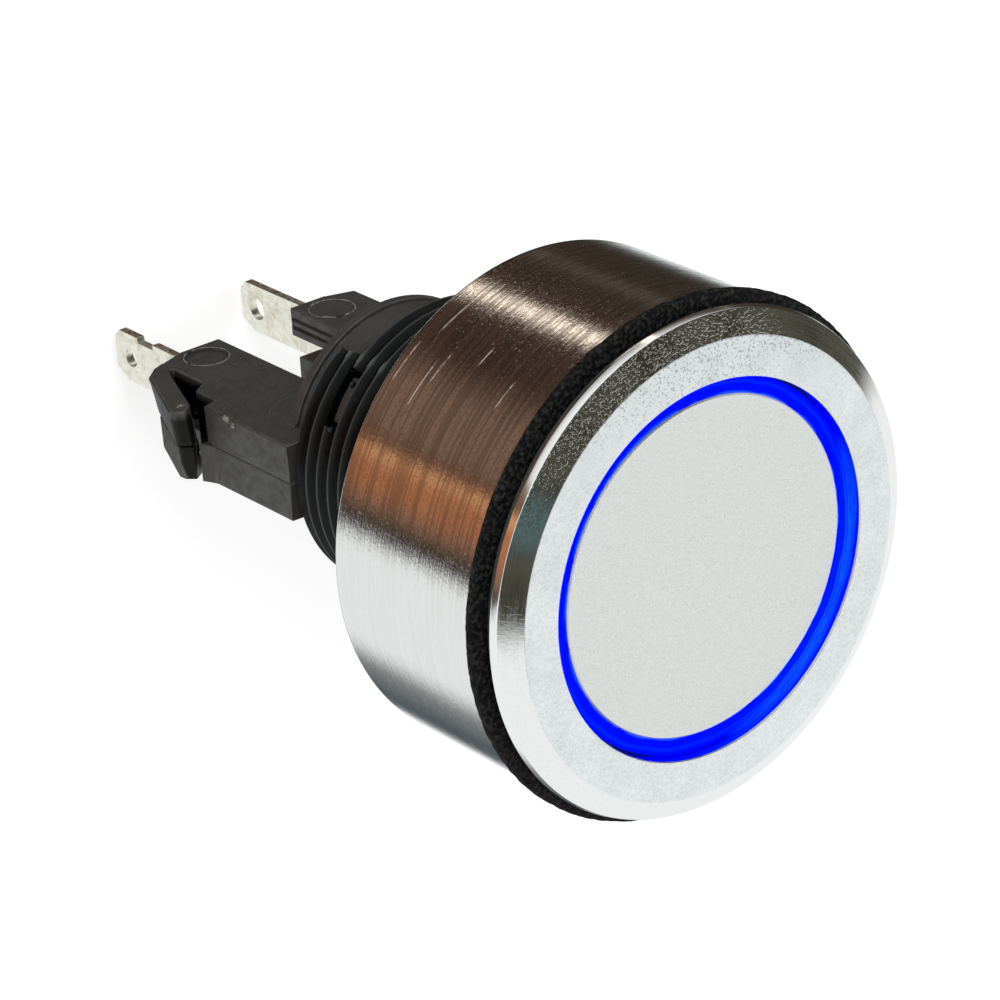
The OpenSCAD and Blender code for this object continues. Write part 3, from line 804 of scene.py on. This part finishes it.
broken = between(tree, grain(tree, scratch_break, detail=3), 0.45, 1.0, 0.4, 0.5)
scratched = both(tree, scratched, broken)
chatter = between(tree, grain(tree, chatter_size, (60, 60, 1), detail=3), 1.0, 0.0, 0.45, 0.51)
flecked = between(tree, grain(tree, fleck_size, (1.6, 1.6, 1), detail=5), 0.0, 0.8, 0.5, 0.62)
dull_side = between(tree, bearing, 1.0, 0.1, *dull_reach)
dulled = both(tree, dull_side, calc(tree, "MAXIMUM", chatter, flecked))
metal = tones(tree, grain(tree, tone_size, (40, 40, 1)), (0.3, turned_dull), (0.62, turned_silver))
metal = blended(tree, dulled, metal, turned_dark)
feed(tree, "Base Color", blended(tree, scratched, metal, scratch_silver))
worn = between(tree, tool_lines, *line_gloss)
worn = calc(tree, "ADD", worn, between(tree, spots, 0.0, spot_dull, 0.55, 0.7))
worn = calc(tree, "ADD", worn, calc(tree, "MULTIPLY", both(tree, chatter, dull_side), chatter_dull))
worn = calc(tree, "ADD", worn, calc(tree, "MULTIPLY", scratched, scratch_rough))
feed(tree, "Roughness", worn)
relief(tree, tool_lines, line_depth)
relief(tree, spots, spot_depth)
relief(tree, grain(tree, scuff_size, detail=3), scuff_depth)
collar.data.materials.append(collar_finish)
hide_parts("clamp_collar")
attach(collar, "collar")

# The contact module's case: two halves moulded in matte black nylon, joined on dowels along the
# plane of the tabs. Two arms carry the terminals, the upper and lower halves share a snap latch,
# and lugs lock the round end into the barrel.
mould_radius = 0.14 * mm
latch_radius = {"case_upper": 0.3 * mm, "case_lower": 0.2 * mm}
latch_from = 13.0 * mm
latch_end = -46.6 * mm
narrowest = math.radians(40)
short_edge = 0.5 * mm
cad_weld_gap = 1e-6
flat_within = math.radians(0.4)
fold_angle = math.radians(25)
round_steps = 3
arm_top = -3.6 * mm
left_mark = (7.5 * mm, -55.4 * mm)
right_mark = (-7.1 * mm, -55.9 * mm)
mark_r = 2.0 * mm
flash_w = 0.13 * mm
flash_h = 0.1 * mm
flash_foot = -0.2
flash_mean = 0.7
flash_swing = 1.6
flash_break = 2.6
gate_scraps = [
    ((14.1 * mm, -3.4 * mm, -43.4 * mm), 0.26 * mm, (0.5, 1, 1.4)),
    ((14.1 * mm, -3.0 * mm, -42.4 * mm), 0.24 * mm, (0.5, 1.2, 1)),
    ((15.5 * mm, -3.5 * mm, -48.2 * mm), 0.3 * mm, (1.6, 0.4, 1)),
]
scrap_rough = 0.9
scrap_detail = 1.3
# Where shade is painted into the case: the gap behind the latch and the front of the latch's nose, on faces
# below the arm tops.
gap_near = 11.1 * mm
gap_far = 12.0 * mm
gap_lean = 0.478
gap_low = -55.2 * mm
gap_high = -47.0 * mm
gap_under = 1.5 * mm
shade_reach = (arm_top + 0.15 * mm, arm_top + 0.9 * mm)
hook_near = 14.5 * mm
nose_low = -48.25 * mm
nose_high = -48.05 * mm
nose_dark = 0.85
wedge_end = 14.85 * mm
seam_middle = (7.7 * mm, -38.8 * mm)
seam_r = 4.0 * mm
seam_end = -40.6 * mm
seam_w = 0.12 * mm
seam_skin = 0.05 * mm
seam_depth = 0.05 * mm
seam_pale = 0.6
case_black = (0.038, 0.036, 0.033)
case_grey = (0.05, 0.048, 0.044)
rubbed_grey = (0.075, 0.073, 0.065)
# Pale grey of torn plastic on the burrs and flash rings, lightened further as a painted highlight.
torn_highlight_grey = (0.24, 0.23, 0.2)
# Near black for the painted shade in the gap and on the nose.
painted_shade_black = (0.002, 0.002, 0.002)
case_patch = 2.5 * mm
case_gloss_size = 0.9 * mm
case_gloss = (0.38, 0.6)
case_grain = 0.25 * mm
case_grain_depth = 0.02 * mm
case_sink = 3 * mm
case_sink_depth = 0.03 * mm
case_shine = (0.5, 0.05)
edge_patch = 1.2 * mm
edge_gloss_size = 0.4 * mm
edge_gloss = (0.36, 0.55)
torn_patch = 0.4 * mm
torn_gloss_size = 0.2 * mm
torn_gloss = (0.3, 0.5)
torn_grain = 0.15 * mm
torn_depth = 0.02 * mm


def cramped(edge):
    """Whether another edge leaves one of its ends so closely that no radius fits between them."""
    for v in edge.verts:
        along = edge.other_vert(v).co - v.co
        for face in edge.link_faces:
            for other in face.edges:
                if other is edge or v not in other.verts:
                    continue
                if along.angle(other.other_vert(v).co - v.co, math.pi) < narrowest:
                    return True
    return False


def softened(node, width, far_width=0.0, edge_slot=-1):
    """The CAD shape with the small radius that a mould or a press leaves on its edges."""
    bm = bmesh.new()
    bm.from_mesh(nodes[node].data)
    bmesh.ops.remove_doubles(bm, verts=bm.verts, dist=cad_weld_gap)
    bmesh.ops.dissolve_limit(bm, angle_limit=flat_within, verts=bm.verts, edges=bm.edges)
    rounded = set()
    for radius in (far_width, width):
        sharp = [e for e in bm.edges if len(e.link_faces) == 2 and e.calc_length() > short_edge
                 and e.calc_face_angle() > fold_angle and not cramped(e)
                 and not rounded.intersection(e.link_faces)]
        if radius == far_width:
            middles = [(e, (e.verts[0].co + e.verts[1].co) / 2) for e in sharp]
            sharp = [e for e, middle in middles if middle.x > latch_from and middle.z < latch_end]
        if radius and sharp:
            made = bmesh.ops.bevel(bm, geom=sharp, offset=radius, offset_type="OFFSET", segments=round_steps,
                                   profile=0.5, affect="EDGES", clamp_overlap=False, material=edge_slot)
            rounded.update(made["faces"])
    return bm


def flash_ring(bm, centre, radius, height):
    """The broken lip of plastic that an ejector pin leaves round its mark, in the pale torn finish, which is
    partly a painted highlight.
    """
    rings = []
    sides = ((radius - flash_w / 2, flash_foot), (radius, 1.0), (radius + flash_w / 2, flash_foot))
    for reach, lift in sides:
        ring = []
        for i in range(around):
            turn = 2 * math.pi * i / around
            side = Vector((math.cos(turn), 0, math.sin(turn)))
            swing = noise.noise(side * flash_break + Vector(centre).to_3d() / mm)
            broken = max(0.0, flash_mean + flash_swing * swing)
            place = Vector((centre[0], arm_top - height * lift * broken, centre[1]))
            ring.append(bm.verts.new(place + side * reach))
        rings.append(ring)
    kept = set(bm.faces)
    for first, second in zip(rings, rings[1:] + rings[:1]):
        bridge_rings(bm, first, second)
    for face in set(bm.faces) - kept:
        face.material_index = 2


def burr(bm, place, size, stretch):
    """A torn scrap of plastic where a gate or a tool edge has been broken off, in the pale torn finish,
    which is partly a painted highlight.
    """
    lay = Matrix.Translation(place) @ Matrix.Diagonal((*stretch, 1))
    made = bmesh.ops.create_icosphere(bm, subdivisions=3, radius=size, matrix=lay)
    for v in made["verts"]:
        v.co += (v.co - Vector(place)) * noise.noise(v.co / size * scrap_detail) * scrap_rough
        for face in v.link_faces:
            face.material_index = 2


def shaded(tree, x, y, z):
    """Where shade is painted near black: inside the gap behind the latch, and on the latch's nose."""
    lean = calc(tree, "MULTIPLY", calc(tree, "SUBTRACT", z, gap_low), gap_lean)
    gap = both(tree, calc(tree, "GREATER_THAN", x, gap_near),
               calc(tree, "LESS_THAN", calc(tree, "SUBTRACT", x, lean), gap_far),
               calc(tree, "LESS_THAN", z, gap_high), calc(tree, "LESS_THAN", x, hook_near),
               calc(tree, "LESS_THAN", y, gap_under))
    nose = both(tree, calc(tree, "GREATER_THAN", x, wedge_end),
                between(tree, z, 0.0, nose_dark, nose_low, nose_high))
    return both(tree, between(tree, y, 0.0, 1.0, *shade_reach), calc(tree, "MAXIMUM", gap, nose))


case_finish, tree = finish_of("case_finish", case_black, 0.48)
x, y, z = place_of(tree)
in_painted_shade = shaded(tree, x, y, z)
seam = apart(tree, calc(tree, "SUBTRACT", x, seam_middle[0]), calc(tree, "SUBTRACT", z, seam_middle[1]))
on_seam = both(tree, between(tree, off_from(tree, seam, seam_r), 1.0, 0.0, 0.0, seam_w),
               calc(tree, "LESS_THAN", off_from(tree, y, arm_top), seam_skin),
               calc(tree, "LESS_THAN", z, seam_end))
moulded = tones(tree, grain(tree, case_patch, detail=4), (0.3, case_black), (0.8, case_grey))
moulded = blended(tree, calc(tree, "MULTIPLY", on_seam, seam_pale), moulded, rubbed_grey)
# Painted shade: the gap behind the latch and the latch's nose are painted near black, with less specular
# there.
feed(tree, "Base Color", blended(tree, in_painted_shade, moulded, painted_shade_black))
feed(tree, "Specular IOR Level", between(tree, in_painted_shade, *case_shine, 0.0, 1.0))
feed(tree, "Roughness", between(tree, grain(tree, case_gloss_size, detail=3), *case_gloss))
relief(tree, grain(tree, case_grain, detail=3), case_grain_depth)
relief(tree, grain(tree, case_sink), case_sink_depth)
relief(tree, on_seam, seam_depth)
edge_finish, tree = finish_of("case_edge_finish", case_grey, 0.45)
in_painted_shade = shaded(tree, *place_of(tree))
sheen_and_wear = tones(tree, grain(tree, edge_patch, detail=4), (0.45, case_grey), (0.6, rubbed_grey))
# Painted shade on the rounded edges too: near black in the gap and on the nose, with less specular there.
feed(tree, "Base Color", blended(tree, in_painted_shade, sheen_and_wear, painted_shade_black))
feed(tree, "Specular IOR Level", between(tree, in_painted_shade, *case_shine, 0.0, 1.0))
feed(tree, "Roughness", between(tree, grain(tree, edge_gloss_size, detail=3), *edge_gloss))
relief(tree, grain(tree, case_grain, detail=3), case_grain_depth)
# The burrs and flash rings: torn plastic, partly paler as real broken plastic and partly a painted
# highlight.
torn_highlight_finish, tree = finish_of("torn_plastic_highlight_finish", torn_highlight_grey, 0.4)
torn = tones(tree, grain(tree, torn_patch, detail=4), (0.4, rubbed_grey), (0.55, torn_highlight_grey))
feed(tree, "Base Color", torn)
feed(tree, "Roughness", between(tree, grain(tree, torn_gloss_size), *torn_gloss))
relief(tree, grain(tree, torn_grain, detail=3), torn_depth)
for half in ("case_upper", "case_lower"):
    bm = softened(half, mould_radius, latch_radius[half], 1)
    if half == "case_upper":
        flash_ring(bm, left_mark, mark_r + flash_w / 2, flash_h / 2)
        flash_ring(bm, right_mark, mark_r + flash_w, flash_h)
        for place, size, stretch in gate_scraps:
            burr(bm, place, size, stretch)
    shell = new_piece(half.replace("case", "shell"), bm)
    for finish in (case_finish, edge_finish, torn_highlight_finish):
        shell.data.materials.append(finish)
    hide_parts(half)
    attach(shell, "housing")

# The terminals: stamped from brass strip, bent at the contact end and silver-plated. The tabs take
# 4.8 mm receptacles or solder, and the plating has dulled in patches.
stamped_radius = 0.06 * mm
plated = (0.9, 0.88, 0.78)
tarnish = (0.74, 0.7, 0.56)
tarnish_size = 1.3 * mm
tab_gloss_size = 0.5 * mm
tab_gloss = (0.24, 0.46)
rolling_size = 0.12 * mm
rolling_depth = 0.006 * mm
dent_size = 0.6 * mm
dent_depth = 0.02 * mm
tab_finish, tree = finish_of("terminal_finish", plated, 0.32, 1.0)
feed(tree, "Base Color", tones(tree, grain(tree, tarnish_size, detail=5), (0.32, tarnish), (0.5, plated)))
feed(tree, "Roughness", between(tree, grain(tree, tab_gloss_size, detail=4), *tab_gloss))
relief(tree, grain(tree, rolling_size, (1, 1, 14)), rolling_depth)
relief(tree, grain(tree, dent_size, detail=3), dent_depth)
for terminal in ("common_terminal", "open_terminal"):
    tab = new_piece(terminal.replace("terminal", "tab"), softened(terminal, stamped_radius))
    tab.data.materials.append(tab_finish)
    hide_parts(terminal)
    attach(tab, "housing")

# The contacts: silver-alloy rivets headed onto the strips and onto the bridge, and the bridge
# itself, a strip of phosphor bronze that joins them when the button is pressed.
silver = (0.84, 0.83, 0.79)
silver_used = (0.5, 0.47, 0.42)
spark_size = 0.5 * mm
rivet_grain = 0.2 * mm
rivet_depth = 0.01 * mm
rivet_gloss = (0.22, 0.5)
contact_finish, tree = finish_of("contact_silver_finish", silver, 0.3, 1.0)
feed(tree, "Base Color", tones(tree, grain(tree, spark_size, detail=4), (0.35, silver_used), (0.55, silver)))
feed(tree, "Roughness", between(tree, grain(tree, rivet_grain), *rivet_gloss))
relief(tree, grain(tree, rivet_grain), rivet_depth)
coat(contact_finish, "fixed_contacts", "bridge_contacts")

bronze = (0.72, 0.48, 0.26)
bronze_dull = (0.5, 0.31, 0.17)
bronze_patch = 1.5 * mm
strip_gloss = (0.22, 0.4)
bridge_finish, tree = finish_of("bridge_finish", bronze, 0.3, 1.0)
rolled = grain(tree, rolling_size, (20, 1, 1))
feed(tree, "Base Color", tones(tree, grain(tree, bronze_patch, detail=3), (0.3, bronze_dull), (0.6, bronze)))
feed(tree, "Roughness", between(tree, rolled, *strip_gloss))
relief(tree, rolled, rolling_depth)
coat(bridge_finish, "contact_bridge")

# The actuator: a natural-colour acetal slider that the light guide's rod pushes, and the small
# steel spring that lifts it and the bridge again.
acetal = (0.78, 0.75, 0.66)
acetal_dull = (0.72, 0.69, 0.6)
translucence = 0.1
acetal_patch = 2 * mm
acetal_gloss_size = 0.4 * mm
acetal_gloss = (0.32, 0.5)
acetal_grain = 0.3 * mm
acetal_depth = 0.01 * mm
small_r = 2.0 * mm
small_wire = 0.36 * mm
small_turns = 6
chamber_floor = -31.0 * mm
bridge_under = -20.07 * mm
actuator_finish, tree = finish_of("actuator_finish", acetal, 0.4)
feed(tree, "Subsurface Weight", translucence)
feed(tree, "Base Color", tones(tree, grain(tree, acetal_patch), (0.3, acetal_dull), (0.7, acetal)))
feed(tree, "Roughness", between(tree, grain(tree, acetal_gloss_size), *acetal_gloss))
relief(tree, grain(tree, acetal_grain), acetal_depth)
coat(actuator_finish, "actuator")
lift_coil = coil("lift_coil", small_r, small_wire, small_turns, chamber_floor, bridge_under)
lift_coil.data.materials.append(spring_finish)
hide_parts("actuator_spring")
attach(lift_coil, "housing")
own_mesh(lift_coil)

# The studio: a pale floor, soft white light, and the tones that the polished metal reflects from
# all round it. Only reflections see those tones; its light is plain and its backdrop is white.
floor_z = -71.3 * mm
floor_half = 2.0
floor_pale = (0.82, 0.82, 0.82)
floor_lift = 0.36
white = (1.0, 1.0, 1.0)
bm = bmesh.new()
bm.faces.new([bm.verts.new((floor_half * sx, floor_half * sy, floor_z))
              for sx, sy in ((-1, -1), (1, -1), (1, 1), (-1, 1))])
floor = new_piece("studio_floor", bm)
floor_finish, tree = finish_of("floor_finish", floor_pale, 0.9)
feed(tree, "Specular IOR Level", 0.0)
path = tree.nodes.new("ShaderNodeLightPath")
feed(tree, "Emission Color", (*white, 1))
feed(tree, "Emission Strength", calc(tree, "MULTIPLY", path.outputs["Is Camera Ray"], floor_lift))
floor.data.materials.append(floor_finish)
floor.visible_glossy = False

sweep = (0.91, 0.94, 0.94)
soft_grey = (0.24, 0.25, 0.25)
shadow_grey = (0.07, 0.065, 0.055)
dark_wood = (0.045, 0.033, 0.024)
warm_wall = (0.21, 0.125, 0.085)
red_wood = (0.062, 0.036, 0.026)
wall_shade = (0.11, 0.05, 0.034)
copper_glow = (0.41, 0.16, 0.074)
copper_pale = (0.72, 0.36, 0.17)
window = (3.0, 2.6, 2.15)
lintel = (0.22, 0.18, 0.15)
olive = (0.035, 0.032, 0.022)
olive_pale = (0.085, 0.08, 0.06)
teal_pane = (0.085, 0.145, 0.145)
plain_light = (0.62, 0.62, 0.62)
cool_shade = (0.09, 0.11, 0.12)
room_stops = [
    (0.0, dark_wood), (0.085, dark_wood), (0.092, lintel), (0.1, dark_wood), (0.187, red_wood),
    (0.192, window), (0.197, window), (0.202, red_wood), (0.29, red_wood), (0.345, warm_wall),
    (0.405, warm_wall), (0.424, wall_shade), (0.436, copper_pale), (0.45, copper_glow), (0.475, copper_glow),
    (0.505, warm_wall), (0.514, dark_wood), (0.534, dark_wood), (0.545, sweep), (0.697, sweep),
    (0.73, soft_grey), (0.79, cool_shade), (0.825, cool_shade), (0.85, sweep), (0.95, sweep),
    (0.968, soft_grey), (0.985, shadow_grey), (1.0, dark_wood),
]
beam_normal = (-0.139, -0.898, 0.415)
beam_edge = (-0.09, 0.03)
tent_way = (-0.555, 0.430, 0.712)
beam_start = (0.0, 0.12)
beam_end = (0.77, 0.83)
copper_start = (0.39, 0.42)
copper_end = (0.5, 0.53)
copper_rise = 0.6
pane_way = (0.241, -0.032, 0.97)
pane_edge = (0.992, 0.9965)
clutter_scale = 4.5
wall_edge = (-0.38, -0.2)
studio = bpy.data.worlds.new("studio_room")
bpy.context.scene.world = studio
studio.use_nodes = True
studio.cycles.sampling_method = "NONE"
tree = studio.node_tree
light = tree.nodes["Background"]
way = tree.nodes.new("ShaderNodeTexCoord")
split = tree.nodes.new("ShaderNodeSeparateXYZ")
tree.links.new(way.outputs["Generated"], split.inputs[0])
x, y, z = split.outputs
compass = calc(tree, "ADD", calc(tree, "DIVIDE", calc(tree, "ARCTAN2", y, x), 2 * math.pi), 0.5)
walls = tones(tree, compass, *room_stops)


def towards(direction):
    """How closely a ray goes in a direction, from -1 to 1."""
    node = tree.nodes.new("ShaderNodeVectorMath")
    node.operation = "DOT_PRODUCT"
    node.inputs[1].default_value = direction
    tree.links.new(way.outputs["Generated"], node.inputs[0])
    return node.outputs["Value"]


from_tent = towards(tent_way)
beam = both(tree, between(tree, towards(beam_normal), 0.0, 1.0, *beam_edge),
            between(tree, from_tent, 1.0, 0.0, *beam_end), between(tree, from_tent, 0.0, 1.0, *beam_start))
clutter = tree.nodes.new("ShaderNodeTexNoise")
clutter.inputs["Scale"].default_value = clutter_scale
clutter.inputs["Detail"].default_value = 4
tree.links.new(way.outputs["Generated"], clutter.inputs["Vector"])
beam_tone = tones(tree, clutter.outputs["Fac"], (0.38, olive), (0.5, olive_pale), (0.56, olive))
in_pane = between(tree, towards(pane_way), 0.0, 1.0, *pane_edge)
overhead = blended(tree, beam, sweep, blended(tree, in_pane, beam_tone, teal_pane))
tall = both(tree, between(tree, compass, 0.0, copper_rise, *copper_start),
            between(tree, compass, 1.0, 0.0, *copper_end))
height = between(tree, calc(tree, "SUBTRACT", z, tall), 0.0, 1.0, *wall_edge)
room = blended(tree, height, walls, overhead)
path = tree.nodes.new("ShaderNodeLightPath")
reflected = calc(tree, "MAXIMUM", path.outputs["Is Glossy Ray"], path.outputs["Is Transmission Ray"])
lit_room = blended(tree, reflected, plain_light, room)
tree.links.new(blended(tree, path.outputs["Is Camera Ray"], lit_room, white), light.inputs["Color"])

lamp_size = 0.5
lamps = [("key_lamp", (0.25, -0.35, 0.55), 2.6), ("fill_lamp", (-0.5, -0.1, 0.35), 1.0)]
for name, place, power in lamps:
    lamp_light = bpy.data.lights.new(name, "AREA")
    lamp_light.size = lamp_size
    lamp_light.energy = power
    lamp = bpy.data.objects.new(name, lamp_light)
    bpy.context.scene.collection.objects.link(lamp)
    lamp.location = place
    lamp.visible_glossy = False
    lamp.rotation_euler = (-Vector(place)).to_track_quat("-Z", "Y").to_euler()

# The camera: a long lens above the button's lit face, rolled as the photograph is.
camera_place = (0.190938, -0.145189, 0.221139)
camera_right = (-0.77022, 0.05659, 0.63526)
camera_up = (-0.31358, -0.90095, -0.29994)
camera_back = (0.55536, -0.43023, 0.71168)
film_width = 36
lens_length = 144
nearest_seen = 0.01
camera_data = bpy.data.cameras.new("camera")
camera_data.sensor_width = film_width
camera_data.lens = lens_length
camera_data.clip_start = nearest_seen
camera = bpy.data.objects.new("camera", camera_data)
bpy.context.scene.collection.objects.link(camera)
turned_to = Matrix((camera_right, camera_up, camera_back)).transposed().to_4x4()
camera.matrix_world = Matrix.Translation(camera_place) @ turned_to
bpy.context.scene.camera = camera
bpy.context.scene.view_settings.view_transform = "Standard"
